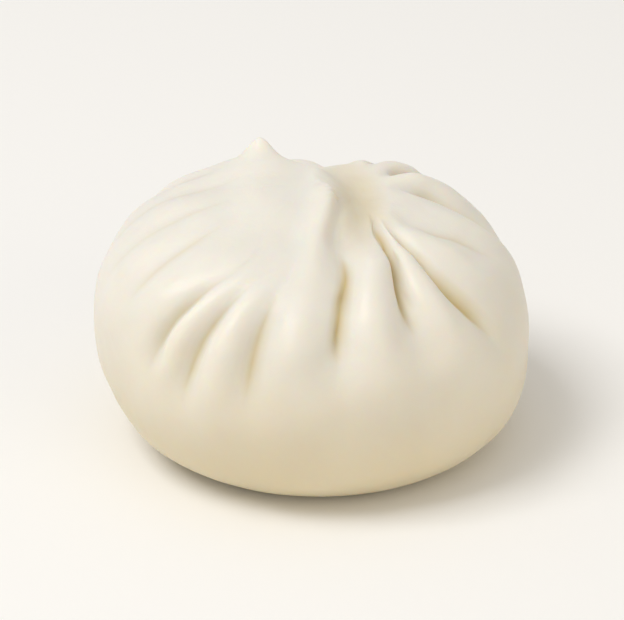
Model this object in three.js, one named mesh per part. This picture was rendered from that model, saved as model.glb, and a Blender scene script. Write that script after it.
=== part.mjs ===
// A baozi: a steamed bun of white dough, closed by pleats that run up to a crown with one pinched tip.
// Units are millimetres and +Z is up. The origin is the middle of the flat foot that the bun rests on.
// Azimuths are in degrees, anticlockwise seen from above: 0 is the front (-Y) and 90 the right (+X).
import * as THREE from "three";

// Body
const BELLY_RADIUS = 38.2; // the widest ring
const BELLY_HEIGHT = 17.5; // of the widest ring above the foot
const FOOT_RADIUS = 24.2;
const FOOT_SHIFT = 1.4; // of the foot to the right
const UNDERSIDE_FULLNESS = 1.95; // exponent of the superellipse below the widest ring, 2 is round
const DOME_RISE = 25.2; // from the widest ring to the shoulder of the crown
const DOME_FULLNESS = 2.5; // exponent of the superellipse above the widest ring
const LEAN = -0.045; // rise of the body for each millimetre to the right, so the left side stands higher
const OUT_OF_ROUND = [ // waves of the outline: how many go round, share of the radius, phase in radians
  { waves: 2, share: 0.01, phase: 0.6 },
  { waves: 3, share: 0.006, phase: -1.1 },
];

// Crown
const CROWN_RADIUS = 9; // the pleats are gathered inside this ring
const NECK_RADIUS = 18; // the dome starts to draw up towards the crown here
const NECK_RISE = 2.2;
const HUMP = { x: 16.5, y: 14.5, radius: 7.5, height: 2.7, power: 2 };
const DIP = { x: -1, y: 18, radius: 6, height: -1.7, power: 2 }; // behind the last fold
const TIP_BASE = { x: -8.6, y: 12.4, radius: 6.5, height: 2.1, power: 2 };
const TIP = { x: -9.6, y: 13.4, radius: 2.5, height: 4, power: 1.25 };
const TIP_CLEARING = { x: -9.6, y: 13.4, radius: 7, power: 2 }; // the pleats flatten out round the tip
// The crest of the last fold, from the tip round to the front: x, y, its rise, and the depth of the hollow
// that runs along its right side.
const LAST_FOLD = [
  { x: -9.6, y: 13.4, rise: 0.5, hollow: 0 },
  { x: -5, y: 12.8, rise: 0.1, hollow: 0 },
  { x: 0, y: 10.6, rise: 0.3, hollow: 1 },
  { x: 2.7, y: 6.5, rise: 1.1, hollow: 2.6 },
  { x: 3.6, y: 2, rise: 1.9, hollow: 3.4 },
  { x: 3.8, y: -4, rise: 2.2, hollow: 3.4 },
  { x: 3.5, y: -9, rise: 1.8, hollow: 2.2 },
  { x: 3.3, y: -14, rise: 1.1, hollow: 0.7 },
  { x: 3.4, y: -20, rise: 0.5, hollow: 0 },
  { x: 3.6, y: -27, rise: 0, hollow: 0 },
];
const LAST_FOLD_LEFT = 6; // how far the fold slopes down on its gentle side
const LAST_FOLD_RIGHT = 2; // and on its steep side
const HOLLOW_PLACE = 4.5; // of the hollow's deepest line, from the crest

// Pleats
const GATHERING = { x: 8, y: 4 }; // the place in the plan that they run up to
const DRIFT_RADIUS = 36; // inside this ring their rings drift from the axis to that place
const SECOND_TURN = 26; // the radius at which a crease ends its first turn and starts its second
const SECOND_TURN_END = 12;
const CREASE_SHARPNESS = 1.2; // exponent of the crease's cross-section, 1 is a sharp V
const VALLEY_SHARE = 0.36; // half width of the soft valley round a crease, as a share of the pleat
const VALLEY_DEPTH = 0.5; // depth of that valley, as a share of the crease's depth
const FADE = 7.5; // height over which a crease dies out at its lower end
const VALLEY_BELOW = 2.5; // how much lower its soft valley ends than its groove
const CLOSING = 7; // distance over which it closes at its upper end
const FOLD_OVER = 0.27; // lean of a pleat over the crease on its right, as a share of that crease's depth
const FOLD_OVER_LIMIT = 0.85; // of the distance to that crease
const WIDEST_CREASE = 0.3; // half width that a crease may take, as a share of its pleat
// Creases seen from the front, from the left: azimuth at the widest ring, first and second turn on the way
// up, depth, half width, height of the lower end and radius of the upper end.
const SEEN_CREASES = [
  { at: -118, turn: 3, second: 0, depth: 0.7, width: 2.8, end: 31, close: 24 },
  { at: -98, turn: 2, second: 0, depth: 0.6, width: 2.8, end: 31, close: 21 },
  { at: -79, turn: 4, second: -4, depth: 0.6, width: 2.8, end: 31, close: 22 },
  { at: -61, turn: 5, second: -8, depth: 0.9, width: 2.8, end: 32, close: 25 },
  { at: -46.5, turn: 17, second: -22, depth: 2, width: 3, end: 26, close: 30 },
  { at: -34.5, turn: 14, second: -20, depth: 2.3, width: 3, end: 22.5, close: 30.5 },
  { at: -17, turn: 4.5, second: -16, depth: 2.3, width: 2.8, end: 24.5, close: 30 },
  { at: 7, turn: 0.5, second: -20, depth: 3.5, width: 1.7, end: 30.5, close: 14 },
  { at: 32.2, turn: -4.5, second: -11, depth: 3.3, width: 1.7, end: 33.5, close: 12 },
  { at: 58.5, turn: -15.5, second: -17, depth: 3.1, width: 1.8, end: 29.5, close: 13 },
  { at: 86, turn: -12, second: -30, depth: 1.4, width: 1.7, end: 37, close: 9 },
  { at: 106, turn: -1, second: 4, depth: 2.2, width: 1.8, end: 35, close: 8 },
  { at: 130, turn: 3, second: 9, depth: 2.2, width: 1.8, end: 33, close: 8 },
];
const HIDDEN_CREASES = 4; // on the far side, at about even spaces
const HIDDEN = { at: 0, turn: 4, second: 12, depth: 2.1, width: 2.1, end: 30, close: 11 };
// How far each hidden crease may stray from that
const UNEVEN = { at: 3, turn: 3, second: 5, depth: 0.5, width: 0.2, end: 2.5, close: 3 };

// Mesh: places across a pleat from crease to crease, and the length of the steps along the profile
const PLEAT_STEPS = [0, 0.06, 0.16, 0.32, 0.5, 0.68, 0.84, 0.94];
const FINE_STEP = 1.3; // at the crown
const COARSE_STEP = 4; // under the belly

const degrees = THREE.MathUtils.degToRad;
const smooth = THREE.MathUtils.smoothstep;

// All creases in order round the bun, with the first one again at the end.
function allCreases() {
  const random = seededRandom(7);
  const first = SEEN_CREASES[0];
  const last = SEEN_CREASES.at(-1);
  const space = (360 - (last.at - first.at)) / (HIDDEN_CREASES + 1);
  const hidden = Array.from({ length: HIDDEN_CREASES }, (_, k) => {
    const crease = Object.fromEntries(
      Object.entries(HIDDEN).map(([key, value]) => [key, value + UNEVEN[key] * (2 * random() - 1)]),
    );
    return { ...crease, at: crease.at + last.at + space * (k + 1) };
  });
  return [...SEEN_CREASES, ...hidden, { ...first, at: first.at + 360 }];
}

// A repeatable row of random numbers between 0 and 1.
function seededRandom(seed) {
  const MODULUS = 2147483647;
  const MULTIPLIER = 48271;
  let state = seed;
  return () => {
    state = (state * MULTIPLIER) % MODULUS;
    return state / MODULUS;
  };
}

// Height of the smooth dome at a distance from the axis.
function domeHeight(distance) {
  const outward = THREE.MathUtils.clamp((distance - CROWN_RADIUS) / (BELLY_RADIUS - CROWN_RADIUS), 0, 1);
  const rise = DOME_RISE * (1 - outward ** DOME_FULLNESS) ** (1 / DOME_FULLNESS);
  return BELLY_HEIGHT + rise + NECK_RISE * (1 - smooth(distance, CROWN_RADIUS - 2, NECK_RADIUS));
}

// Radius and height of a ring of the smooth body: 0 is the foot's edge, 1 the widest ring, 2 the shoulder and
// 3 the middle.
function profile(t) {
  const angle = (t % 1) * (Math.PI / 2);
  if (t < 1) {
    const power = 2 / UNDERSIDE_FULLNESS;
    return new THREE.Vector2(
      FOOT_RADIUS + (BELLY_RADIUS - FOOT_RADIUS) * Math.sin(angle) ** power,
      BELLY_HEIGHT * (1 - Math.cos(angle) ** power),
    );
  }
  const power = 2 / DOME_FULLNESS;
  const radius = t < 2
    ? CROWN_RADIUS + (BELLY_RADIUS - CROWN_RADIUS) * Math.cos(angle) ** power
    : CROWN_RADIUS * (3 - t);
  return new THREE.Vector2(radius, domeHeight(radius));
}

// The profile as rows from the foot's edge to the middle, with short steps at the crown and long ones below.
function profileRows() {
  const SAMPLES = 3000;
  const FOOT_ROUNDING = BELLY_HEIGHT - 5;
  const SHOULDER_HEIGHT = BELLY_HEIGHT + DOME_RISE;
  const rows = [];
  let travelled = 0;
  let before = profile(3);
  let due = FINE_STEP / 2;
  for (let k = SAMPLES - 1; k > 0; k--) {
    const here = profile((3 * k) / SAMPLES);
    travelled += here.distanceTo(before);
    if (travelled >= due) {
      const along = profile((3 * (k - 1)) / SAMPLES).sub(here).normalize();
      rows.push({ radius: here.x, height: here.y, out: new THREE.Vector2(-along.y, along.x) });
      travelled = 0;
      due = THREE.MathUtils.lerp(COARSE_STEP, FINE_STEP, smooth(here.y, FOOT_ROUNDING, SHOULDER_HEIGHT));
    }
    before = here;
  }
  rows.push({ radius: FOOT_RADIUS, height: 0, out: new THREE.Vector2(0, -1) });
  return rows.reverse();
}

// Azimuth of a crease on a ring: its first turn over the dome, then its second turn towards the crown.
function creaseAzimuth(crease, radius) {
  const first = THREE.MathUtils.clamp((BELLY_RADIUS - radius) / (BELLY_RADIUS - SECOND_TURN), 0, 1);
  const second = smooth(-radius, -SECOND_TURN, -SECOND_TURN_END);
  return degrees(crease.at + crease.turn * first + crease.second * second);
}

// Depth of a crease on a row of the profile: it dies out at its lower end and closes at its upper end.
function creaseDepth(crease, row, below = 0) {
  if (row.height < BELLY_HEIGHT) return 0;
  const end = crease.end - below;
  const lower = smooth(row.height, end - FADE / 2, end + FADE / 2);
  const upper = smooth(row.radius, crease.close - CLOSING / 2, crease.close + CLOSING / 2);
  return crease.depth * lower * upper;
}

const near = (point, spot) => (
  Math.exp(-((Math.hypot(point.x - spot.x, point.y - spot.y) / spot.radius) ** spot.power))
);

// The smooth body's point on a row of the profile at an azimuth, and the direction out of the skin there.
function smoothBody(row, azimuth) {
  const sine = Math.sin(azimuth);
  const cosine = Math.cos(azimuth);
  if (row.radius >= DRIFT_RADIUS || row.height < BELLY_HEIGHT) {
    return {
      point: new THREE.Vector3(row.radius * sine, -row.radius * cosine, row.height),
      out: new THREE.Vector3(row.out.x * sine, -row.out.x * cosine, row.out.y),
    };
  }
  const drift = 1 - smooth(row.radius, CROWN_RADIUS, DRIFT_RADIUS);
  const x = GATHERING.x * drift + row.radius * sine;
  const y = GATHERING.y * drift - row.radius * cosine;
  const distance = Math.hypot(x, y);
  const STEP = 0.01;
  const slope = (domeHeight(distance + STEP) - domeHeight(distance)) / STEP;
  const out = new THREE.Vector3((-slope * x) / distance, (-slope * y) / distance, 1).normalize();
  return { point: new THREE.Vector3(x, y, domeHeight(distance)), out };
}

// The skin's point on one row of the profile, at a share of the way from one crease to the next.
function skin(row, crease, next, share) {
  const from = creaseAzimuth(crease, row.radius);
  const gap = creaseAzimuth(next, row.radius) - from;
  const across = gap * row.radius;
  const toLeft = share * across;
  const toRight = (1 - share) * across;
  const halfWidth = (side) => Math.min(side.width, across * WIDEST_CREASE);
  const groove = (distance, side) => (
    creaseDepth(side, row) * Math.exp(-((distance / halfWidth(side)) ** CREASE_SHARPNESS))
  );
  const valley = (distance, side) => (
    creaseDepth(side, row, VALLEY_BELOW) * Math.exp(-((distance / (across * VALLEY_SHARE)) ** 2))
  );
  const cut = (distance, side) => (
    (1 - VALLEY_DEPTH) * groove(distance, side) + VALLEY_DEPTH * valley(distance, side)
  );
  const reach = toRight / halfWidth(next);
  const lean = FOLD_OVER * creaseDepth(next, row) * reach * Math.exp(1 - reach);
  const azimuth = from + share * gap + Math.min(lean, FOLD_OVER_LIMIT * toRight) / row.radius;
  const { point, out } = smoothBody(row, azimuth);
  const clearing = 1 - near(point, TIP_CLEARING);
  return point.addScaledVector(out, -clearing * (cut(toLeft, crease) + cut(toRight, next)));
}

const lastFold = finely(LAST_FOLD);

// Places along a row of named values, a tenth of the way apart.
function finely(places) {
  const PARTS = 10;
  return places.slice(1).flatMap((end, k) => Array.from({ length: PARTS }, (_, part) => {
    const start = places[k];
    const between = ([key, value]) => [key, THREE.MathUtils.lerp(value, end[key], part / PARTS)];
    return Object.fromEntries(Object.entries(start).map(between));
  }));
}

// Height of the last fold over the dome: gentle on its left side, steep on its right, with the hollow there.
function lastFoldRise(point) {
  const distances = lastFold.map((crest) => Math.hypot(point.x - crest.x, point.y - crest.y));
  const distance = Math.min(...distances);
  const nearest = THREE.MathUtils.clamp(distances.indexOf(distance), 1, lastFold.length - 2);
  const a = lastFold[nearest - 1];
  const b = lastFold[nearest + 1];
  const onLeft = (b.x - a.x) * (point.y - a.y) - (b.y - a.y) * (point.x - a.x) < 0;
  const { rise, hollow } = lastFold[nearest];
  if (onLeft) return rise * Math.exp(-((distance / LAST_FOLD_LEFT) ** 2));
  const away = distance / HOLLOW_PLACE;
  return rise * Math.exp(-((distance / LAST_FOLD_RIGHT) ** 2)) - hollow * away ** 2 * Math.exp(1 - away ** 2);
}

// Shapes the crown: the last fold with its hollow, the hump, the dip and the tip.
function shapeCrown(point) {
  const spots = [HUMP, DIP, TIP_BASE, TIP];
  point.z += lastFoldRise(point) + spots.reduce((sum, spot) => sum + spot.height * near(point, spot), 0);
}

// The whole body's unevenness: a little out of round, and higher on the left.
function settle(point) {
  const azimuth = Math.atan2(point.x, -point.y);
  const wave = ({ waves, share, phase }) => share * Math.cos(waves * azimuth + phase);
  const stretch = OUT_OF_ROUND.reduce((sum, one) => sum + wave(one), 1);
  const up = smooth(point.z, 0, BELLY_HEIGHT);
  point.z += LEAN * point.x * up;
  point.x = point.x * stretch + FOOT_SHIFT * (1 - up);
  point.y *= stretch;
}

function bunGeometry() {
  const creases = allCreases();
  const rows = profileRows();
  const positions = [];
  for (const row of rows) {
    for (let k = 0; k + 1 < creases.length; k++) {
      for (const share of PLEAT_STEPS) {
        const point = skin(row, creases[k], creases[k + 1], share);
        if (row.height > BELLY_HEIGHT) shapeCrown(point);
        settle(point);
        positions.push(point);
      }
    }
  }
  const columns = (creases.length - 1) * PLEAT_STEPS.length;
  const foot = positions.push(new THREE.Vector3(0, 0, 0)) - 1;
  const top = new THREE.Vector3(GATHERING.x, GATHERING.y, domeHeight(Math.hypot(GATHERING.x, GATHERING.y)));
  shapeCrown(top);
  const middle = positions.push(top) - 1;
  const faces = [];
  for (let c = 0; c < columns; c++) {
    const d = (c + 1) % columns;
    for (let start = 0; start + columns < columns * rows.length; start += columns) {
      const above = start + columns;
      faces.push([start + c, start + d, above + d], [start + c, above + d, above + c]);
    }
    const last = columns * (rows.length - 1);
    faces.push([foot, d, c], [middle, last + c, last + d]);
  }
  const geometry = new THREE.BufferGeometry().setFromPoints(positions);
  geometry.setIndex(faces.flat());
  geometry.computeBoundingBox();
  const box = geometry.boundingBox;
  geometry.translate(-(box.min.x + box.max.x) / 2, -(box.min.y + box.max.y) / 2, -box.min.z);
  geometry.computeVertexNormals();
  return geometry;
}

const dough = new THREE.MeshStandardMaterial({ color: 0xf1ece0, roughness: 0.55, metalness: 0 });
const bun = new THREE.Mesh(bunGeometry(), dough);
bun.name = "bun";

const baozi = new THREE.Group();
baozi.add(bun);

export default baozi;
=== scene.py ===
import math
import random

import bmesh
import bpy
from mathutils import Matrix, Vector


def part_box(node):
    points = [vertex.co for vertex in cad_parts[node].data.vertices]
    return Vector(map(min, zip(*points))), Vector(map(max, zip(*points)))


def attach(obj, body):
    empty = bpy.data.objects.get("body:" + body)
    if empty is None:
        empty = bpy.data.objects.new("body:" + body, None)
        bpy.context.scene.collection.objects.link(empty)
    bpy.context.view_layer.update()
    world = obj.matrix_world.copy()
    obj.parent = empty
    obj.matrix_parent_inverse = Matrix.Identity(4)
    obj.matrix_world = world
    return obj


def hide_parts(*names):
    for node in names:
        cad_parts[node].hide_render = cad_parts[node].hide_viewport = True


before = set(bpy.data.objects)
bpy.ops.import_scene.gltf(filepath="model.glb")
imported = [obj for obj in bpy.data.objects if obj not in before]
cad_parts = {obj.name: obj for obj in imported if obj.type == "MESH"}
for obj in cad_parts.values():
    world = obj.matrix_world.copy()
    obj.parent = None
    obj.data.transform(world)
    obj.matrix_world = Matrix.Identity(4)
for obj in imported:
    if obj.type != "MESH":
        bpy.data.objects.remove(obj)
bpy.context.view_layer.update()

bl_info = {
    "name": "Baozi",
    "version": (1, 0, 0),
    "blender": (4, 5, 0),
    "location": "View3D > Sidebar > Baozi",
    "description": "Models a steamed bun with turned pleats and a pinched tip, and a plain stage round it",
    "category": "Object",
}

MM = 0.001
LOWEST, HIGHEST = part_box("bun")
BELLY_RADIUS = (HIGHEST.x - LOWEST.x + HIGHEST.y - LOWEST.y) / 4

# The creases of the front and both flanks, from the left. In degrees from the front, anticlockwise seen from
# above: at, where the crease meets the widest ring, and turn and second, its first and second turn on the way
# up. In millimetres: depth; width of the pressed groove; end, the height of the groove's lower end; below, how
# much lower its soft valley ends; close, the radius of the ring where the groove closes towards the crown;
# above, how much nearer to the crown the valley closes. Crisp is how far the pleat leans over its crease,
# from 0 to 1.
CREASE_KEYS = ("at", "turn", "second", "depth", "width", "end", "below", "close", "above", "crisp")
SEEN_CREASES = [dict(zip(CREASE_KEYS, values)) for values in (
    (-118, 3, 0, 0.6, 5, 32, 3, 24, 2, 0.3),
    (-98, 2, 0, 0.5, 5, 32, 3, 21, 2, 0.3),
    (-79, 4, -4, 0.5, 5, 32, 3, 22, 2, 0.3),
    (-61, 5, -8, 0.9, 5, 33, 3, 25, 2, 0.3),
    (-46.5, 17, -22, 1.8, 5, 26, 2, 30.5, 2, 0.2),
    (-34.5, 14, -20, 2.1, 5, 22.5, 2, 31.5, 2, 0.2),
    (-17, 4.5, -16, 2.1, 4.6, 24.5, 2, 31.5, 2, 0.2),
    (7, 0.5, -20, 3.4, 2.6, 31.5, 6, 22.5, 6, 0.9),
    (32.2, -4.5, -11, 3.4, 2.6, 35, 4, 14, 2, 1),
    (58.5, -15.5, -17, 3.1, 2.6, 30.5, 2, 17, 3, 0.8),
    (86, -12, -30, 1.1, 2.8, 38, 2, 17, 6, 0.6),
    (106, -1, 4, 1.9, 2.6, 36, 2, 14, 5, 0.9),
    (130, 3, 9, 1.5, 3.2, 34, 2, 14, 4, 0.5),
)]

# The creases of the far side: how many, their usual values, and how far each value may differ
HIDDEN_CREASES = 4
HIDDEN = dict(zip(CREASE_KEYS, (0, 4, 12, 2.1, 2.8, 31, 3, 17, 6, 0.7)))
UNEVEN = dict(zip(CREASE_KEYS, (3, 3, 5, 0.5, 0.3, 2.5, 1, 3, 1, 0.1)))
HIDDEN_SEED = 7

# Every crease: the height over which its lower end fades, and the radii over which it closes
FADE = 6 * MM
CLOSING = 7 * MM

# Depth, in millimetres, of a crease whose pleat puffs out and whose painted shade deepens in full
FULL_DEPTH = 3

# Places of a pleat's edges, as shares of the way from its left crease to its right one
PLEAT_EDGES = [0, 0.06, 0.16, 0.32, 0.5, 0.68, 0.84, 0.94]

# The dome and the underside: how full their curves are (an ellipse is 2), the space between two rings at the
# widest one and at the crown, and the number of rings below the widest one
DOME_FULLNESS = 2.5
UNDERSIDE_FULLNESS = 1.95
FIRST_STEP = 1.8 * MM
LAST_STEP = 1.15 * MM
UNDERSIDE_RINGS = 8

# The neck, where the skin rises a little more: the radius where it starts, how far inside the crown's ring it
# ends, and its rise
NECK_RADIUS = 18 * MM
NECK_INSIDE = 2 * MM
NECK_RISE = 2.2 * MM

# Where the pleats gather, in the plan, and the radii of the rings that start and end the drift towards it
GATHERING = Vector((8, 4, 0)) * MM
DRIFT_RADIUS = 36 * MM
DRIFT_END = 9 * MM

# Radii where the pleats' second turn starts and ends, and the shares of a turn's height that each pass twists
SECOND_TURN = 26 * MM
SECOND_TURN_END = 12 * MM
FIRST_PASSES = [(0, 1), (0, 1), (0, 1)]
SECOND_PASSES = [(0, 1), (0, 1), (0.12, 0.88), (0.24, 0.76)]

# The body leans to the right, its foot lies a little off the middle, and it is a little out of round
BODY_LEAN = math.radians(2.6)
FOOT_SHIFT = 1.4 * MM
FOOT_INNER_RING = 0.5
OVAL = 0.01
OVAL_AZIMUTH = math.radians(-17)

# Pressing a crease: the valley's and the groove's share of its depth, the valley's reach, the shares of the
# pleat's width that they reach at most, the least depth, and how crisp a crease has a sharp groove
VALLEY_PRESS = 0.5
GROOVE_PRESS = 0.6
VALLEY_REACH = 7 * MM
VALLEY_SHARE = 0.5
GROOVE_SHARE = 0.4
LEAST_PRESS = 0.02 * MM
SHARP_FROM = 0.5

# Leaning a pleat over the crease on its right: the share of the crease's depth, its reach, the pleat's widths
# from which it starts and is full, the least lean, the columns left of the crease that lean, and the columns
# from the crease on that stay
LEAN_SHARE = 0.28
LEAN_REACH = 4 * MM
LEAN_WIDTHS = (2.5 * MM, 6 * MM)
LEAST_LEAN = 0.05 * MM
LEANING_COLUMNS = (1, 2)
STAYING_COLUMNS = range(5)

# How far a pleat puffs out between its creases, how far that reaches across it, the width of a pleat that
# puffs in full, how much lower than the grooves it starts, in millimetres, and the strengths from which each
# of its strokes works
PUFF = 1.2 * MM
PUFF_REACH = 4.5 * MM
PUFF_WIDTH = 9 * MM
PUFF_BELOW = 2
PUFF_STROKES = (0.2, 0.4, 0.6, 0.8)

# The soft lobe at a pleat's lower end: how far it swells, its reach, and how far below the creases it lies
LOBE = 0.9 * MM
LOBE_REACH = 9 * MM
LOBE_BELOW = 4.5 * MM

# Smoothing where the pleats run narrow: the width, the least radius, the reach round the gathering before and
# after the last fold is made, and how near two points may then lie there
NARROW_PLEAT = 4.5 * MM
NARROW_RADIUS = 8 * MM
GATHERING_REACH = 9 * MM
GATHERING_CORE = 7 * MM
THIN_TO = 0.5 * MM

# The crest of the last fold, from the tip round to the front: x, y, its rise, and the depth of the hollow on
# its right
LAST_FOLD = [
    (-9.6, 13.4, 0.3, 0), (-5, 12.8, 0.1, 0), (0, 10.6, 0.3, 1), (2.7, 6.5, 1.1, 2.5), (3.4, 2, 1.9, 3.4),
    (3.5, -4, 2.2, 3.4), (3.1, -9, 2.0, 2.2), (2.6, -14, 1.6, 1), (2.3, -20, 1.2, 0), (2.2, -27, 0.6, 0),
    (2.4, -31, 0, 0),
]

# Strokes along the crest: the space between them, the reach and strength of the rise on its left and of the
# lip that rolls to its right, the reach of the smoothing, and the rise from which it works
FOLD_STEP = 1.2 * MM
LAST_FOLD_LEFT = 6.5 * MM
RISE_STRENGTH = 1.1
LAST_FOLD_LIP = 3 * MM
LIP_STRENGTH = 0.3
LAST_FOLD_EDGE = 2.2 * MM
EDGE_FROM = 0.2 * MM

# The hollow: how far right of the crest it lies, its reach, its even core, and its depth
HOLLOW_PLACE = 4.8 * MM
HOLLOW_REACH = 6.3 * MM
HOLLOW_CORE = 1 * MM
HOLLOW_DEEPEST = max(hollow for _, _, _, hollow in LAST_FOLD) * MM

# Radius of the upper skin, which takes the strokes of the last fold
UPPER_SKIN = 30 * MM

# The pinched tip: its place in the plan, how far it bends, its reach and its point; and the lip's end
TIP = Vector((-9.6, 13.4, 0)) * MM
TIP_BEND = (-0.3 * MM, 0.2 * MM)
TIP_REACH = 5 * MM
TIP_POINT = 0.7 * MM
LIP_END = Vector((5.2, -20, 0)) * MM
LIP_END_REACH = 4.5 * MM

# Broad strokes on the crown: place in the plan, rise, reach, and the radius of the spot that moves as one
HUMP = dict(place=Vector((16.5, 14.5, 0)) * MM, rise=1.8 * MM, reach=13 * MM, spot=2 * MM)
DIP = dict(place=Vector((-1, 22, 0)) * MM, rise=-2.4 * MM, reach=14 * MM, spot=1 * MM)
SADDLE = dict(place=Vector((5.5, 15, 0)) * MM, rise=1.7 * MM, reach=8 * MM, spot=1 * MM)
TIP_BASE = dict(place=TIP, rise=2.8 * MM, reach=12.5 * MM, spot=1 * MM)

# Finishing the skin: subdivisions, the heights between which the dough starts to be uneven, and the
# unevenness: name, size of its bumps and how far they reach in and out
SUBDIVISIONS = 2
RISEN_HEIGHTS = (0.2 * MM, 6 * MM)
SKIN_SWELLS = [("swell", 17 * MM, 1.1 * MM), ("ripple", 6 * MM, 0.3 * MM), ("skin", 1.6 * MM, 0.05 * MM)]

# The painted shade of a crease on the columns beside it and in the hollow, as shares of that in its groove,
# and the space between the hollow's places
SHADE_BESIDE_CREASE = 0.35
SHADE_IN_HOLLOW = 0.5
HOLLOW_SHADE_STEP = 2 * MM

# The dough's colour: the heights between which it turns from the painted warm shade low down to the dough's
# own, how far that height wanders, and the faint mottle's share of its brightness
LOW_SHADE_HEIGHTS = (7 * MM, 47 * MM)
LOW_SHADE_WANDERS = 14 * MM
MOTTLE = 0.975


class BunSizes(bpy.types.PropertyGroup):
    """Sizes of the bun that a user may change."""

    belly_radius: bpy.props.FloatProperty(
        name="Belly radius", description="Radius of the widest ring", default=BELLY_RADIUS, unit="LENGTH",
    )
    belly_height: bpy.props.FloatProperty(
        name="Belly height", description="Height of the widest ring above the foot", default=17.5 * MM,
        unit="LENGTH",
    )
    foot_radius: bpy.props.FloatProperty(
        name="Foot radius", description="Radius of the flat foot", default=24.2 * MM, unit="LENGTH",
    )
    dome_rise: bpy.props.FloatProperty(
        name="Dome rise", description="Height of the crown's shoulder above the widest ring",
        default=25.2 * MM, unit="LENGTH",
    )
    crown_radius: bpy.props.FloatProperty(
        name="Crown radius", description="Radius of the ring that gathers the pleats", default=9 * MM,
        unit="LENGTH",
    )
    tip_height: bpy.props.FloatProperty(
        name="Tip height", description="Height of the pinched tip", default=4.4 * MM, unit="LENGTH",
    )
    crease_depth: bpy.props.FloatProperty(
        name="Crease depth", description="Depth of all creases, as a share of the modelled one",
        default=1.0, min=0, max=1.5, subtype="FACTOR",
    )


class BunColours(bpy.types.PropertyGroup):
    """Colours of the dough, of its painted shade low down and in the creases, and of the stage."""

    dough: bpy.props.FloatVectorProperty(
        name="Dough", description="Colour of the steamed dough", subtype="COLOR",
        default=(0.82, 0.80, 0.745), min=0, max=1,
    )
    # Painted warm shade: the dough turns darker and warmer near the foot, standing in for shade and warm
    # bounced light
    low: bpy.props.FloatVectorProperty(
        name="Dough low down", description="Colour of the dough near the foot", subtype="COLOR",
        default=(0.74, 0.645, 0.445), min=0, max=1,
    )
    # Painted shade deep in the creases and in the hollow beside the last fold
    crease: bpy.props.FloatVectorProperty(
        name="Creases", description="Colour of the dough deep in a crease", subtype="COLOR",
        default=(0.65, 0.53, 0.28), min=0, max=1,
    )
    stage: bpy.props.FloatVectorProperty(
        name="Stage", description="Colour of the floor", subtype="COLOR",
        default=(0.93, 0.93, 0.93), min=0, max=1,
    )


# Selecting and moving

def turn_selected(angle, centre=(0, 0, 0), axis="Z", **proportional):
    """Turns what is selected anticlockwise. With no window the operator turns the other way."""
    sign = -1 if bpy.app.background else 1
    bpy.ops.transform.rotate(
        value=sign * angle, orient_axis=axis, center_override=centre, **proportional,
    )


def soft(size, falloff="SMOOTH"):
    """Keywords of a proportional edit."""
    return dict(use_proportional_edit=True, proportional_edit_falloff=falloff, proportional_size=size)


def smooth_selected(times):
    """Smooths what is selected a number of times."""
    bpy.ops.mesh.vertices_smooth(factor=0.5, repeat=times)


def select(bun, wanted):
    """Selects the vertices of the edited bun that wanted(vertex, ring, column) accepts."""
    body = bmesh.from_edit_mesh(bun.data)
    rings = body.verts.layers.int["ring"]
    columns = body.verts.layers.int["column"]
    bpy.ops.mesh.select_all(action="DESELECT")
    for vertex in body.verts:
        if not vertex.hide and wanted(vertex, vertex[rings], vertex[columns]):
            vertex.select = True
    body.select_flush(True)
    bmesh.update_edit_mesh(bun.data)


# The bun

def all_creases():
    """Every crease in order round the bun, the hidden ones at about even spaces."""
    draw = random.Random(HIDDEN_SEED)
    first, last = SEEN_CREASES[0], SEEN_CREASES[-1]
    space = (360 - (last["at"] - first["at"])) / (HIDDEN_CREASES + 1)
    hidden = []
    for k in range(HIDDEN_CREASES):
        crease = {key: value + UNEVEN[key] * draw.uniform(-1, 1) for key, value in HIDDEN.items()}
        crease["at"] += last["at"] + space * (k + 1)
        hidden.append(crease)
    return SEEN_CREASES + hidden


def smooth(x, low, high):
    """Goes softly from 0, where x is low, to 1, where it is high."""
    t = min(1, max(0, (x - low) / (high - low)))
    return t * t * (3 - 2 * t)


def dome_rings(sizes):
    """Radius and height of the rings from the widest one up to the middle of the crown."""
    power = 2 / DOME_FULLNESS

    def place(t):
        """A place on the dome's section: the belly at 0, the crown's ring at 1 and its middle at 2."""
        angle = min(t, 1) * math.pi / 2
        if t < 1:
            shoulder = (sizes.belly_radius - sizes.crown_radius) * math.cos(angle) ** power
            radius = sizes.crown_radius + shoulder
        else:
            radius = sizes.crown_radius * (2 - t)
        rise = sizes.dome_rise * math.sin(angle) ** power
        neck = NECK_RISE * (1 - smooth(radius, sizes.crown_radius - NECK_INSIDE, NECK_RADIUS))
        return Vector((radius, sizes.belly_height + rise + neck))

    return even_rings(place, 2, FIRST_STEP, LAST_STEP)


def even_rings(place, end, first_step, last_step):
    """Points along place(t), from 0 to end, whose distances go from first_step to last_step."""
    samples = 2000
    rings = [place(0)]
    travelled = 0
    before = rings[0]
    for k in range(1, samples):
        here = place(end * k / samples)
        travelled += (here - before).length
        before = here
        if travelled >= first_step + (last_step - first_step) * k / samples:
            rings.append(here)
            travelled = 0
    return rings


def underside_rings(sizes):
    """Radius and height of the rings from below the widest one down to the foot's edge."""
    power, count = 2 / UNDERSIDE_FULLNESS, UNDERSIDE_RINGS
    rings = []
    for k in range(count - 1, -1, -1):
        angle = k / count * math.pi / 2
        radius = sizes.foot_radius + (sizes.belly_radius - sizes.foot_radius) * math.sin(angle) ** power
        rings.append(Vector((radius, sizes.belly_height * (1 - math.cos(angle) ** power))))
    return rings


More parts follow.
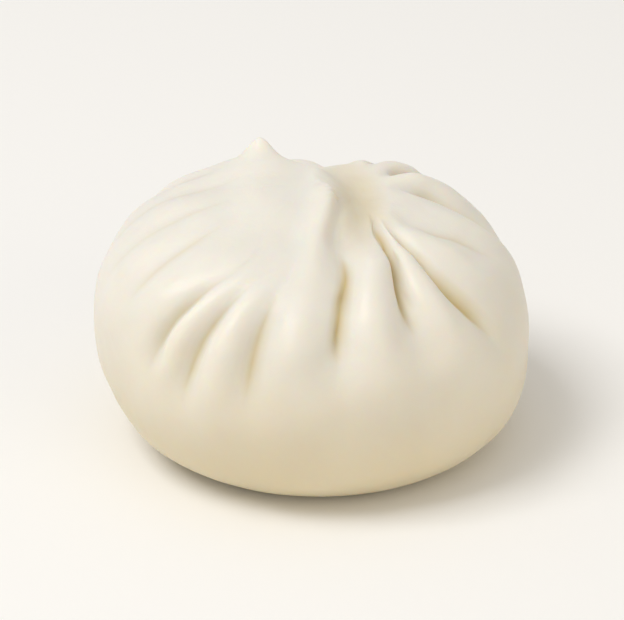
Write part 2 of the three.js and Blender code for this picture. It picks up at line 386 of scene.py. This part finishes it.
def extrude_ring(bun, number, scale, rise):
    """Extrudes the selected ring, sizes and lifts the new one, and numbers it."""
    bpy.ops.mesh.extrude_region_move(TRANSFORM_OT_translate={"value": (0, 0, rise)})
    if scale != 1:
        bpy.ops.transform.resize(value=(scale, scale, 1), center_override=(0, 0, 0))
    body = bmesh.from_edit_mesh(bun.data)
    rings = body.verts.layers.int["ring"]
    for vertex in body.verts:
        if vertex.select:
            vertex[rings] = number
    bmesh.update_edit_mesh(bun.data)


def azimuth_of(vertex):
    """Azimuth of a vertex in degrees, from 0 to 360."""
    return math.degrees(math.atan2(vertex.co.x, -vertex.co.y)) % 360


def start_ring(sizes, creases):
    """The widest ring, with its points gathered towards the creases."""
    per_pleat = len(PLEAT_EDGES)
    count = per_pleat * len(creases)
    bpy.ops.object.select_all(action="DESELECT")
    bpy.ops.mesh.primitive_circle_add(vertices=count, radius=sizes.belly_radius, location=(0, 0, 0))
    bun = bpy.context.object
    bun.name = "steamed_bun"
    bpy.ops.object.mode_set(mode="EDIT")
    body = bmesh.from_edit_mesh(bun.data)
    rings = body.verts.layers.int.new("ring")
    columns = body.verts.layers.int.new("column")
    for column, vertex in enumerate(sorted(body.verts, key=azimuth_of)):
        vertex[columns] = column
        vertex[rings] = 0
    bmesh.update_edit_mesh(bun.data)
    for column in range(count):
        pleat, edge = divmod(column, per_pleat)
        left, right = creases[pleat]["at"], creases[(pleat + 1) % len(creases)]["at"]
        gap = (right - left) % 360
        wanted = left + PLEAT_EDGES[edge] * gap
        select(bun, lambda vertex, ring, at: at == column)
        turn_selected(math.radians(wanted - 360 * column / count))
    bpy.ops.object.mode_set(mode="OBJECT")
    return bun


def crease_azimuth(crease, radius):
    """Azimuth of a crease on a ring, after its first and second turn."""
    first = min(1, max(0, (BELLY_RADIUS - radius) / (BELLY_RADIUS - SECOND_TURN)))
    second = smooth(SECOND_TURN - radius, 0, SECOND_TURN - SECOND_TURN_END)
    return math.radians(crease["at"] + crease["turn"] * first + crease["second"] * second)


def twist_pleats(bun, creases, key, start, end, passes, reach):
    """Turns each pleat of the cone by its own amount between two heights, in passes that keep it round."""
    turns = [crease[key] for crease in creases]
    least, most = min(turns), max(turns)
    group = bun.vertex_groups.new(name="own_turn")
    columns = [one.value for one in bun.data.attributes["column"].data]
    for index, column in enumerate(columns):
        pleat, edge = divmod(column, len(PLEAT_EDGES))
        left, right = turns[pleat], turns[(pleat + 1) % len(turns)]
        own = left + PLEAT_EDGES[edge] * (right - left)
        group.add([index], (own - least) / (most - least), "REPLACE")
    for low, high in passes:
        bottom, top = start + low * (end - start), start + high * (end - start)
        lift_cone(-bottom)
        for angle, weights in ((least, ""), (most - least, "own_turn")):
            twist = bun.modifiers.new("own turn", "SIMPLE_DEFORM")
            twist.deform_method = "TWIST"
            twist.deform_axis = "Z"
            twist.angle = math.radians(angle) / len(passes)
            twist.limits = (bottom / reach, top / reach)
            twist.vertex_group = weights
            bpy.ops.object.modifier_apply(modifier=twist.name)
        lift_cone(bottom)
    bun.vertex_groups.clear()


def lift_cone(rise):
    """Lifts the whole mesh in its object, because a twist starts from the object's origin."""
    bpy.ops.object.mode_set(mode="EDIT")
    bpy.ops.mesh.select_all(action="SELECT")
    bpy.ops.transform.translate(value=(0, 0, rise))
    bpy.ops.object.mode_set(mode="OBJECT")


def raise_dome(bun, sizes, creases):
    """Extrudes a cone up from the widest ring, twists it and raises it into a dome. Returns its rings."""
    rings = dome_rings(sizes)
    cone = [sizes.belly_radius - ring.x for ring in rings]
    bpy.ops.object.mode_set(mode="EDIT")
    select(bun, lambda vertex, ring, column: True)
    for k in range(1, len(rings)):
        extrude_ring(bun, k, rings[k].x / rings[k - 1].x, cone[k] - cone[k - 1])
    bpy.ops.object.mode_set(mode="OBJECT")
    turning = BELLY_RADIUS - SECOND_TURN
    turned = BELLY_RADIUS - SECOND_TURN_END
    twist_pleats(bun, creases, "turn", 0, turning, FIRST_PASSES, cone[-1])
    twist_pleats(bun, creases, "second", turning, turned, SECOND_PASSES, cone[-1])
    bpy.ops.object.mode_set(mode="EDIT")
    for k, ring in enumerate(rings):
        select(bun, lambda vertex, number, column: number == k)
        bpy.ops.transform.translate(value=(0, 0, ring.y - cone[k]))
        turn_selected(BODY_LEAN, (0, 0, ring.y), "Y")
    last = len(rings) - 1
    select(bun, lambda vertex, number, column: number == last)
    bpy.ops.mesh.extrude_region_move()
    bpy.ops.mesh.merge(type="CENTER")
    bpy.ops.object.mode_set(mode="OBJECT")
    gather_rings(bun, rings)
    return rings


def ring_centre(radius):
    """Place in the plan of the middle of a ring: the rings drift towards the gathering."""
    return GATHERING * (1 - smooth(radius, DRIFT_END, DRIFT_RADIUS))


def gather_rings(bun, rings):
    """Slides the upper rings off the middle, along the skin of the plain dome."""
    bpy.ops.object.duplicate()
    dome = bpy.context.object
    bpy.ops.object.select_all(action="DESELECT")
    bun.select_set(True)
    bpy.context.view_layer.objects.active = bun
    bpy.ops.object.mode_set(mode="EDIT")
    for k, ring in enumerate(rings):
        drift = ring_centre(ring.x)
        last = k == len(rings) - 1
        select(bun, lambda vertex, number, column: number == k or last and number > k)
        bpy.ops.transform.translate(value=drift)
    bpy.ops.object.mode_set(mode="OBJECT")
    wrap = bun.modifiers.new("dome", "SHRINKWRAP")
    wrap.wrap_method = "NEAREST_SURFACEPOINT"
    wrap.target = dome
    bpy.ops.object.modifier_apply(modifier=wrap.name)
    bpy.data.objects.remove(dome)
    bpy.ops.object.mode_set(mode="EDIT")


def round_underside(bun, sizes):
    """Extrudes the widest ring down to the foot's edge, closes the foot and flattens it."""
    below = underside_rings(sizes)
    select(bun, lambda vertex, ring, column: ring == 0)
    before = Vector((sizes.belly_radius, sizes.belly_height))
    up = 1
    for k, ring in enumerate(below):
        extrude_ring(bun, -1 - k, ring.x / before.x, ring.y - before.y)
        now = smooth(ring.y, 0, sizes.belly_height)
        turn_selected(BODY_LEAN * (now - up), (0, 0, ring.y), "Y")
        bpy.ops.transform.translate(value=(FOOT_SHIFT * (up - now), 0, 0))
        before = ring
        up = now
    extrude_ring(bun, -1 - len(below), FOOT_INNER_RING, 0)
    bpy.ops.mesh.extrude_region_move()
    bpy.ops.mesh.merge(type="CENTER")
    select(bun, lambda vertex, ring, column: ring <= -len(below))
    bpy.ops.transform.resize(value=(1, 1, 0), center_override=(0, 0, 0))
    bpy.ops.mesh.select_all(action="SELECT")
    bpy.ops.mesh.normals_make_consistent(inside=False)


def index_of_places(bun):
    """The index of the vertex at each (ring, column)."""
    body = bmesh.from_edit_mesh(bun.data)
    rings = body.verts.layers.int["ring"]
    columns = body.verts.layers.int["column"]
    return {(vertex[rings], vertex[columns]): vertex.index for vertex in body.verts}


def dab(bun, index, depth, size, falloff):
    """Presses one place of the dough in along its normals."""
    body = bmesh.from_edit_mesh(bun.data)
    body.verts.ensure_lookup_table()
    bpy.ops.mesh.select_all(action="DESELECT")
    body.verts[index].select = True
    bmesh.update_edit_mesh(bun.data)
    bpy.ops.transform.shrink_fatten(value=-depth, **soft(size, falloff))


def pleat_width(creases, number, radius):
    """Width of a pleat on a ring, from its left crease to its right one."""
    left, right = creases[number], creases[(number + 1) % len(creases)]
    return (crease_azimuth(right, radius) - crease_azimuth(left, radius)) % (2 * math.pi) * radius


def crease_strength(crease, ring, below=0, above=0):
    """Share of its depth that a crease has on a ring: it fades at both ends."""
    end, close = (crease["end"] - below) * MM, (crease["close"] - above) * MM
    lower = smooth(ring.y, end - FADE / 2, end + FADE / 2)
    return lower * smooth(ring.x, close - CLOSING / 2, close + CLOSING / 2)


def press_creases(bun, sizes, creases, rings):
    """Presses the soft valley and the sharp groove of every crease, ring by ring."""
    at = index_of_places(bun)
    per_pleat = len(PLEAT_EDGES)
    for number, crease in enumerate(creases):
        falloff = "SHARP" if crease["crisp"] > SHARP_FROM else "SMOOTH"
        for k in range(1, len(rings) - 1):
            ring = rings[k]
            full = sizes.crease_depth * crease["depth"] * MM
            groove_depth = full * crease_strength(crease, ring)
            valley_depth = full * crease_strength(crease, ring, crease["below"], crease["above"])
            if valley_depth < LEAST_PRESS:
                continue
            step = (rings[k + 1] - rings[k - 1]).length / 2
            across = pleat_width(creases, number, ring.x)
            valley = min(VALLEY_SHARE * across, VALLEY_REACH)
            groove = min(crease["width"] * MM, GROOVE_SHARE * across)
            place = at[k, number * per_pleat]
            dab(bun, place, VALLEY_PRESS * valley_depth * min(1, step / valley), valley, "SMOOTH")
            dab(bun, place, GROOVE_PRESS * groove_depth * min(1, step / groove), groove, falloff)


def puff_pleats(bun, creases, rings):
    """Puffs every pleat out between its two creases, and swells the soft lobe at its lower end."""
    middle = PLEAT_EDGES.index(0.5)
    per_pleat = len(PLEAT_EDGES)
    for number, crease in enumerate(creases):
        following = creases[(number + 1) % len(creases)]
        share = min(crease["depth"], following["depth"]) / FULL_DEPTH
        ridge = number * per_pleat + middle
        strengths = [min(
            crease_strength(crease, ring, PUFF_BELOW), crease_strength(following, ring, PUFF_BELOW),
            pleat_width(creases, number, ring.x) / PUFF_WIDTH,
        ) for ring in rings]
        for least in PUFF_STROKES:
            puffed = {k for k, strength in enumerate(strengths) if strength > least}
            select(bun, lambda vertex, ring, column: column == ridge and ring in puffed)
            if puffed:
                bpy.ops.transform.shrink_fatten(value=share * PUFF / len(PUFF_STROKES), **soft(PUFF_REACH))
        lobe = min(crease["end"], following["end"]) * MM - LOBE_BELOW
        nearest = min(range(len(rings)), key=lambda k: abs(rings[k].y - lobe))
        select(bun, lambda vertex, ring, column: column == ridge and ring == nearest)
        bpy.ops.transform.shrink_fatten(value=share * LOBE, **soft(LOBE_REACH))


def lean_pleats(bun, creases, rings):
    """Leans the right edge of every pleat over the crease beside it, ring by ring."""
    per_pleat = len(PLEAT_EDGES)
    count = per_pleat * len(creases)
    for number, crease in enumerate(creases):
        column = number * per_pleat
        staying = {(column + k) % count for k in STAYING_COLUMNS}
        leaning = {(column - k) % count for k in LEANING_COLUMNS}
        select(bun, lambda vertex, ring, at: at in staying)
        bpy.ops.mesh.hide(unselected=False)
        for k in range(1, len(rings) - 1):
            ring = rings[k]
            narrower = min(pleat_width(creases, number + side, ring.x) for side in (-1, 0))
            amount = LEAN_SHARE * crease["crisp"] * crease["depth"] * MM * crease_strength(crease, ring)
            amount *= smooth(narrower, *LEAN_WIDTHS)
            if amount < LEAST_LEAN:
                continue
            step = (rings[k + 1] - rings[k - 1]).length / 2
            select(bun, lambda vertex, on, at: at in leaning and on == k)
            centre = ring_centre(ring.x)
            turn_selected(amount * step / LEAN_REACH / ring.x, centre, **soft(LEAN_REACH))
        bpy.ops.mesh.reveal(select=False)


def soothe_narrow(bun, creases, rings):
    """Smooths the pleats where they run narrow towards the crown."""
    per_pleat = len(PLEAT_EDGES)
    narrow = {
        (number, k) for number in range(len(creases)) for k, ring in enumerate(rings)
        if k > 0 and ring.x > NARROW_RADIUS and pleat_width(creases, number, ring.x) < NARROW_PLEAT
    }
    select(bun, lambda vertex, ring, column: (column // per_pleat, ring) in narrow)
    smooth_selected(times=5)


def soothe(bun, place, reach, thin_to=0):
    """Smooths the upper skin round a place in the plan, if need be with fewer vertices."""
    select(bun, lambda vertex, ring, column: ring > 0 and (vertex.co.xy - place.xy).length < reach)
    if thin_to:
        bpy.ops.mesh.remove_doubles(threshold=thin_to)
    smooth_selected(times=6)


def along_fold(step):
    """Places along the crest of the last fold: the place, the way to its right, its rise and its hollow."""
    for start, end in zip(LAST_FOLD, LAST_FOLD[1:]):
        a, b = Vector(start) * MM, Vector(end) * MM
        run = (b - a).xy
        right = Vector((-run.y, run.x, 0)).normalized()
        count = max(1, round(run.length / step))
        for k in range(count):
            here = a.lerp(b, k / count)
            yield Vector((here.x, here.y, 0)), right, here.z, here.w


def right_of_fold(place, crest):
    """Whether a place in the plan is on the right of the last fold's crest."""
    spot, right, _, _ = min(crest, key=lambda one: (one[0].xy - place.xy).length_squared)
    return (place.xy - spot.xy).dot(right.xy) > 0


def hide_side(bun, crest, hide_right):
    """Hides the upper skin on one side of the last fold's crest."""
    select(bun, lambda vertex, ring, column: ring > 0 and vertex.co.xy.length < UPPER_SKIN and (
        right_of_fold(vertex.co, crest) == hide_right))
    bpy.ops.mesh.hide(unselected=False)


def pull(bun, place, move, size, falloff="SMOOTH", spot=0):
    """Moves the upper skin round a place in the plan, with all vertices within spot of it as one."""
    body = bmesh.from_edit_mesh(bun.data)
    rings = body.verts.layers.int["ring"]
    upper = (vertex for vertex in body.verts if vertex[rings] > 0 and not vertex.hide)
    index = min(upper, key=lambda vertex: (vertex.co.xy - place.xy).length_squared).index
    select(bun, lambda vertex, ring, column: vertex.index == index or (
        ring > 0 and (vertex.co.xy - place.xy).length < spot))
    bpy.ops.transform.translate(value=move, **soft(size, falloff))


def lift(bun, place, rise, reach, spot):
    """Lifts the upper skin round a place in the plan, or sinks it."""
    pull(bun, place, (0, 0, rise), reach, spot=spot)


def fold_over(bun):
    """Raises the last fold left of its crest, rolls its lip to the right and sinks the hollow there."""
    crest = list(along_fold(FOLD_STEP))
    hide_side(bun, crest, hide_right=True)
    for place, right, rise, hollow in crest:
        pull(bun, place, (0, 0, RISE_STRENGTH * rise * FOLD_STEP / LAST_FOLD_LEFT), LAST_FOLD_LEFT)
        pull(bun, place, right * LIP_STRENGTH * hollow * FOLD_STEP / LAST_FOLD_LIP, LAST_FOLD_LIP)
    bpy.ops.mesh.reveal(select=False)
    hide_side(bun, crest, hide_right=False)
    for place, right, _, hollow in crest:
        pull(bun, place + right * HOLLOW_PLACE, (0, 0, -hollow * FOLD_STEP / HOLLOW_REACH), HOLLOW_REACH)
    bpy.ops.mesh.reveal(select=False)
    edge = [place for place, _, rise, _ in crest if rise > EDGE_FROM]
    select(bun, lambda vertex, ring, column: ring > 0 and vertex.co.xy.length < UPPER_SKIN and min(
        (vertex.co.xy - place.xy).length for place in edge) < LAST_FOLD_EDGE)
    smooth_selected(times=3)


def shape_crown(bun, sizes):
    """Shapes the last fold, the hump, the dip behind it, the saddle between them and the pinched tip."""
    fold_over(bun)
    lift(bun, **HUMP)
    lift(bun, **DIP)
    lift(bun, **SADDLE)
    soothe(bun, GATHERING, GATHERING_CORE, thin_to=THIN_TO)
    soothe(bun, LIP_END, LIP_END_REACH)
    soothe(bun, TIP, TIP_REACH)
    lift(bun, **TIP_BASE)
    pull(bun, TIP, (*TIP_BEND, sizes.tip_height), TIP_REACH, "SHARP", spot=TIP_POINT)


def paint_crease_shade(bun, creases, rings):
    """Keeps how deep in a crease or in the hollow each vertex lies, for the painted shade there in the dough's
    colour.
    """
    body = bmesh.from_edit_mesh(bun.data)
    number = body.verts.layers.int["ring"]
    column = body.verts.layers.int["column"]
    painted_shade = body.verts.layers.float.new("painted_crease_shade")
    per_pleat = len(PLEAT_EDGES)
    near = {0: 1, 1: SHADE_BESIDE_CREASE, per_pleat - 1: SHADE_BESIDE_CREASE}
    hollow_shades = [(place + right * HOLLOW_PLACE, hollow / HOLLOW_DEEPEST)
               for place, right, _, hollow in along_fold(HOLLOW_SHADE_STEP) if hollow]
    for vertex in body.verts:
        k = vertex[number]
        pleat, edge = divmod(vertex[column], per_pleat)
        if edge == per_pleat - 1:
            pleat = (pleat + 1) % len(creases)
        if 0 < k < len(rings):
            crease = creases[pleat]
            strength = near.get(edge, 0) * crease_strength(crease, rings[k])
            vertex[painted_shade] = strength * min(1, crease["depth"] / FULL_DEPTH)
        # The hollow's painted shade, deepest at its core
        if k > 0:
            hollow_shade = max(share * (1 - smooth((vertex.co.xy - place.xy).length, HOLLOW_CORE, HOLLOW_REACH))
                       for place, share in hollow_shades)
            vertex[painted_shade] = max(vertex[painted_shade], SHADE_IN_HOLLOW * hollow_shade)
    bmesh.update_edit_mesh(bun.data)


def settle(bun):
    """Makes the body a little out of round and sets it in the middle of its place."""
    bpy.ops.mesh.select_all(action="SELECT")
    turn_selected(-OVAL_AZIMUTH)
    bpy.ops.transform.resize(value=(1 - OVAL, 1 + OVAL, 1), center_override=(0, 0, 0))
    turn_selected(OVAL_AZIMUTH)
    places = [vertex.co for vertex in bmesh.from_edit_mesh(bun.data).verts]
    for axis in (0, 1):
        middle = (min(co[axis] for co in places) + max(co[axis] for co in places)) / 2
        move = [0, 0, 0]
        move[axis] = (LOWEST[axis] + HIGHEST[axis]) / 2 - middle
        bpy.ops.transform.translate(value=move)


def finish_skin(bun):
    """Subdivides the skin and gives it the unevenness of risen dough, all but on the foot."""
    group = bun.vertex_groups.new(name="risen")
    heights = [vertex.co.z for vertex in bun.data.vertices]
    for index, height in enumerate(heights):
        group.add([index], smooth(height, *RISEN_HEIGHTS), "REPLACE")
    rounding = bun.modifiers.new("rounding", "SUBSURF")
    rounding.levels = rounding.render_levels = SUBDIVISIONS
    bpy.ops.object.modifier_apply(modifier=rounding.name)
    for name, scale, strength in SKIN_SWELLS:
        texture = bpy.data.textures.new(name, "CLOUDS")
        texture.noise_scale = scale
        texture.noise_depth = 1
        swell = bun.modifiers.new(name, "DISPLACE")
        swell.texture = texture
        swell.texture_coords = "LOCAL"
        swell.strength = strength
        swell.mid_level = 0.5
        swell.vertex_group = "risen"
        bpy.ops.object.modifier_apply(modifier=swell.name)
        bpy.data.textures.remove(texture)
    bun.vertex_groups.clear()
    bpy.ops.object.shade_smooth()


# The finish

def dough_material(colours):
    """Soft white dough: light that sinks in, painted shade in the creases, the hollow and low down, a faint
    mottle and a fine skin.
    """
    material = bpy.data.materials.new("steamed_dough")
    material.use_nodes = True
    nodes, links = material.node_tree.nodes, material.node_tree.links
    shader = nodes["Principled BSDF"]
    place = nodes.new("ShaderNodeTexCoord")

    def noise(scale, detail):
        """Noise on the bun's own place."""
        made = nodes.new("ShaderNodeTexNoise")
        made.inputs["Scale"].default_value = scale
        made.inputs["Detail"].default_value = detail
        links.new(place.outputs["Object"], made.inputs["Vector"])
        return made.outputs["Fac"]

    def spread(source, low, high, start=0.3, end=0.7):
        """Goes softly from low to high, as the source goes from start to end."""
        made = nodes.new("ShaderNodeMapRange")
        made.interpolation_type = "SMOOTHSTEP"
        made.inputs["From Min"].default_value = start
        made.inputs["From Max"].default_value = end
        made.inputs["To Min"].default_value = low
        made.inputs["To Max"].default_value = high
        links.new(source, made.inputs["Value"])
        return made.outputs["Result"]

    def mix(factor, first, second):
        """Mixes two colours, each of them a plain colour or a socket."""
        made = nodes.new("ShaderNodeMix")
        made.data_type = "RGBA"
        links.new(factor, made.inputs["Factor"])
        for socket, value in ((made.inputs[6], first), (made.inputs[7], second)):
            if isinstance(value, bpy.types.NodeSocket):
                links.new(value, socket)
            else:
                socket.default_value = (*value, 1)
        return made.outputs[2]

    # How deep each place lies in a crease or in the hollow, for the painted shade there
    depth = nodes.new("ShaderNodeAttribute")
    depth.attribute_name = "painted_crease_shade"
    axes = nodes.new("ShaderNodeSeparateXYZ")
    links.new(place.outputs["Object"], axes.inputs["Vector"])
    # Painted warm shade low down: the dough turns darker and warmer towards the foot, by height with a
    # wandering edge
    wandering = nodes.new("ShaderNodeMath")
    wandering.operation = "MULTIPLY_ADD"
    links.new(noise(scale=45, detail=2), wandering.inputs[0])
    wandering.inputs[1].default_value = LOW_SHADE_WANDERS
    links.new(axes.outputs["Z"], wandering.inputs[2])
    pale = spread(wandering.outputs["Value"], 0, 1, *LOW_SHADE_HEIGHTS)
    dough = mix(pale, colours.low, colours.dough)
    mottled = mix(pale, [c * MOTTLE for c in colours.low], [c * MOTTLE for c in colours.dough])
    plain = mix(spread(noise(scale=70, detail=3), low=0, high=1), mottled, dough)
    # Painted shade: the dough darkens to the crease colour in the creases and the hollow
    links.new(mix(depth.outputs["Fac"], plain, colours.crease), shader.inputs["Base Color"])
    shader.inputs["Subsurface Weight"].default_value = 1
    shader.inputs["Subsurface Radius"].default_value = (1.0, 0.72, 0.45)
    shader.inputs["Subsurface Scale"].default_value = 3 * MM
    shader.inputs["IOR"].default_value = 1.4
    links.new(spread(noise(scale=140, detail=2), low=0.36, high=0.5), shader.inputs["Roughness"])
    bump = nodes.new("ShaderNodeBump")
    bump.inputs["Strength"].default_value = 0.35
    bump.inputs["Distance"].default_value = 0.1 * MM
    links.new(noise(scale=1500, detail=4), bump.inputs["Height"])
    links.new(bump.outputs["Normal"], shader.inputs["Normal"])
    return material


def plain_material(name, colour):
    """A matt finish of one colour."""
    material = bpy.data.materials.new(name)
    material.use_nodes = True
    shader = material.node_tree.nodes["Principled BSDF"]
    shader.inputs["Base Color"].default_value = (*colour, 1)
    shader.inputs["Roughness"].default_value = 0.8
    return material


class OBJECT_OT_steamed_bun(bpy.types.Operator):
    """Models the steamed bun with its pleats, crown and dough"""

    bl_idname = "object.steamed_bun"
    bl_label = "Steamed bun"

    def execute(self, context):
        sizes = context.scene.bun_sizes
        creases = all_creases()
        bun = start_ring(sizes, creases)
        rings = raise_dome(bun, sizes, creases)
        round_underside(bun, sizes)
        press_creases(bun, sizes, creases, rings)
        puff_pleats(bun, creases, rings)
        lean_pleats(bun, creases, rings)
        soothe_narrow(bun, creases, rings)
        soothe(bun, GATHERING, GATHERING_REACH)
        shape_crown(bun, sizes)
        paint_crease_shade(bun, creases, rings)
        settle(bun)
        bpy.ops.object.mode_set(mode="OBJECT")
        finish_skin(bun)
        bun.data.materials.append(dough_material(context.scene.bun_colours))
        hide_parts("bun")
        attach(bun, "root")
        return {"FINISHED"}


class SCENE_OT_bun_stage(bpy.types.Operator):
    """Lays a plain pale floor, soft lights and the camera"""

    bl_idname = "scene.bun_stage"
    bl_label = "Stage"

    def execute(self, context):
        bpy.ops.object.select_all(action="DESELECT")
        bpy.ops.mesh.primitive_plane_add(size=12, location=(0, 0, 0))
        floor = context.object
        floor.name = "floor"
        floor.data.materials.append(plain_material("pale_floor", context.scene.bun_colours.stage))
        add_light("key", place=(-0.7, -0.32, 1.25), size=0.7, power=10.8, colour=(1, 0.99, 0.97))
        add_light("fill", place=(0.9, -0.9, 0.5), size=0.9, power=2.2, colour=(1, 0.88, 0.64))
        light_room(context, colour=(1, 0.965, 0.91), strength=0.58)
        context.scene.view_settings.view_transform = "Standard"
        add_camera(context)
        return {"FINISHED"}


def add_light(name, place, size, power, colour):
    """A square light that looks at the bun."""
    bpy.ops.object.light_add(type="AREA", location=place)
    light = bpy.context.object
    light.name = name
    light.data.size = size
    light.data.energy = power
    light.data.color = colour
    light.rotation_euler = (-Vector(place)).to_track_quat("-Z", "Y").to_euler()


def light_room(context, colour, strength):
    """Soft light from all round."""
    world = bpy.data.worlds.new("soft_room")
    world.use_nodes = True
    sky = world.node_tree.nodes["Background"]
    sky.inputs["Color"].default_value = (*colour, 1)
    sky.inputs["Strength"].default_value = strength
    context.scene.world = world


def add_camera(context):
    """The camera at the photograph's angle: straight from the front, looking down."""
    lens, sensor, elevation = 180, 36, math.radians(26)
    share_of_picture = 0.7
    target = Vector((0, 0, 22 * MM))
    width = HIGHEST.x - LOWEST.x
    distance = width / share_of_picture * lens / sensor
    back = Vector((0, -math.cos(elevation), math.sin(elevation)))
    bpy.ops.object.camera_add(location=target + back * distance)
    camera = context.object
    camera.data.lens = lens
    camera.data.sensor_width = sensor
    camera.rotation_euler = (-back).to_track_quat("-Z", "Y").to_euler()
    context.scene.camera = camera


class VIEW3D_PT_baozi(bpy.types.Panel):
    """Sizes, colours and the two steps"""

    bl_label = "Baozi"
    bl_space_type = "VIEW_3D"
    bl_region_type = "UI"
    bl_category = "Baozi"

    def draw(self, context):
        for group in (context.scene.bun_sizes, context.scene.bun_colours):
            for name in group.bl_rna.properties.keys():
                if name not in ("rna_type", "name"):
                    self.layout.prop(group, name)
        self.layout.operator(OBJECT_OT_steamed_bun.bl_idname)
        self.layout.operator(SCENE_OT_bun_stage.bl_idname)


CLASSES = (BunSizes, BunColours, OBJECT_OT_steamed_bun, SCENE_OT_bun_stage, VIEW3D_PT_baozi)


def register():
    for cls in CLASSES:
        bpy.utils.register_class(cls)
    bpy.types.Scene.bun_sizes = bpy.props.PointerProperty(type=BunSizes)
    bpy.types.Scene.bun_colours = bpy.props.PointerProperty(type=BunColours)


def unregister():
    del bpy.types.Scene.bun_colours
    del bpy.types.Scene.bun_sizes
    for cls in reversed(CLASSES):
        bpy.utils.unregister_class(cls)


def main():
    register()
    bpy.ops.object.steamed_bun()
    bpy.ops.scene.bun_stage()


if __name__ == "__main__":
    main()
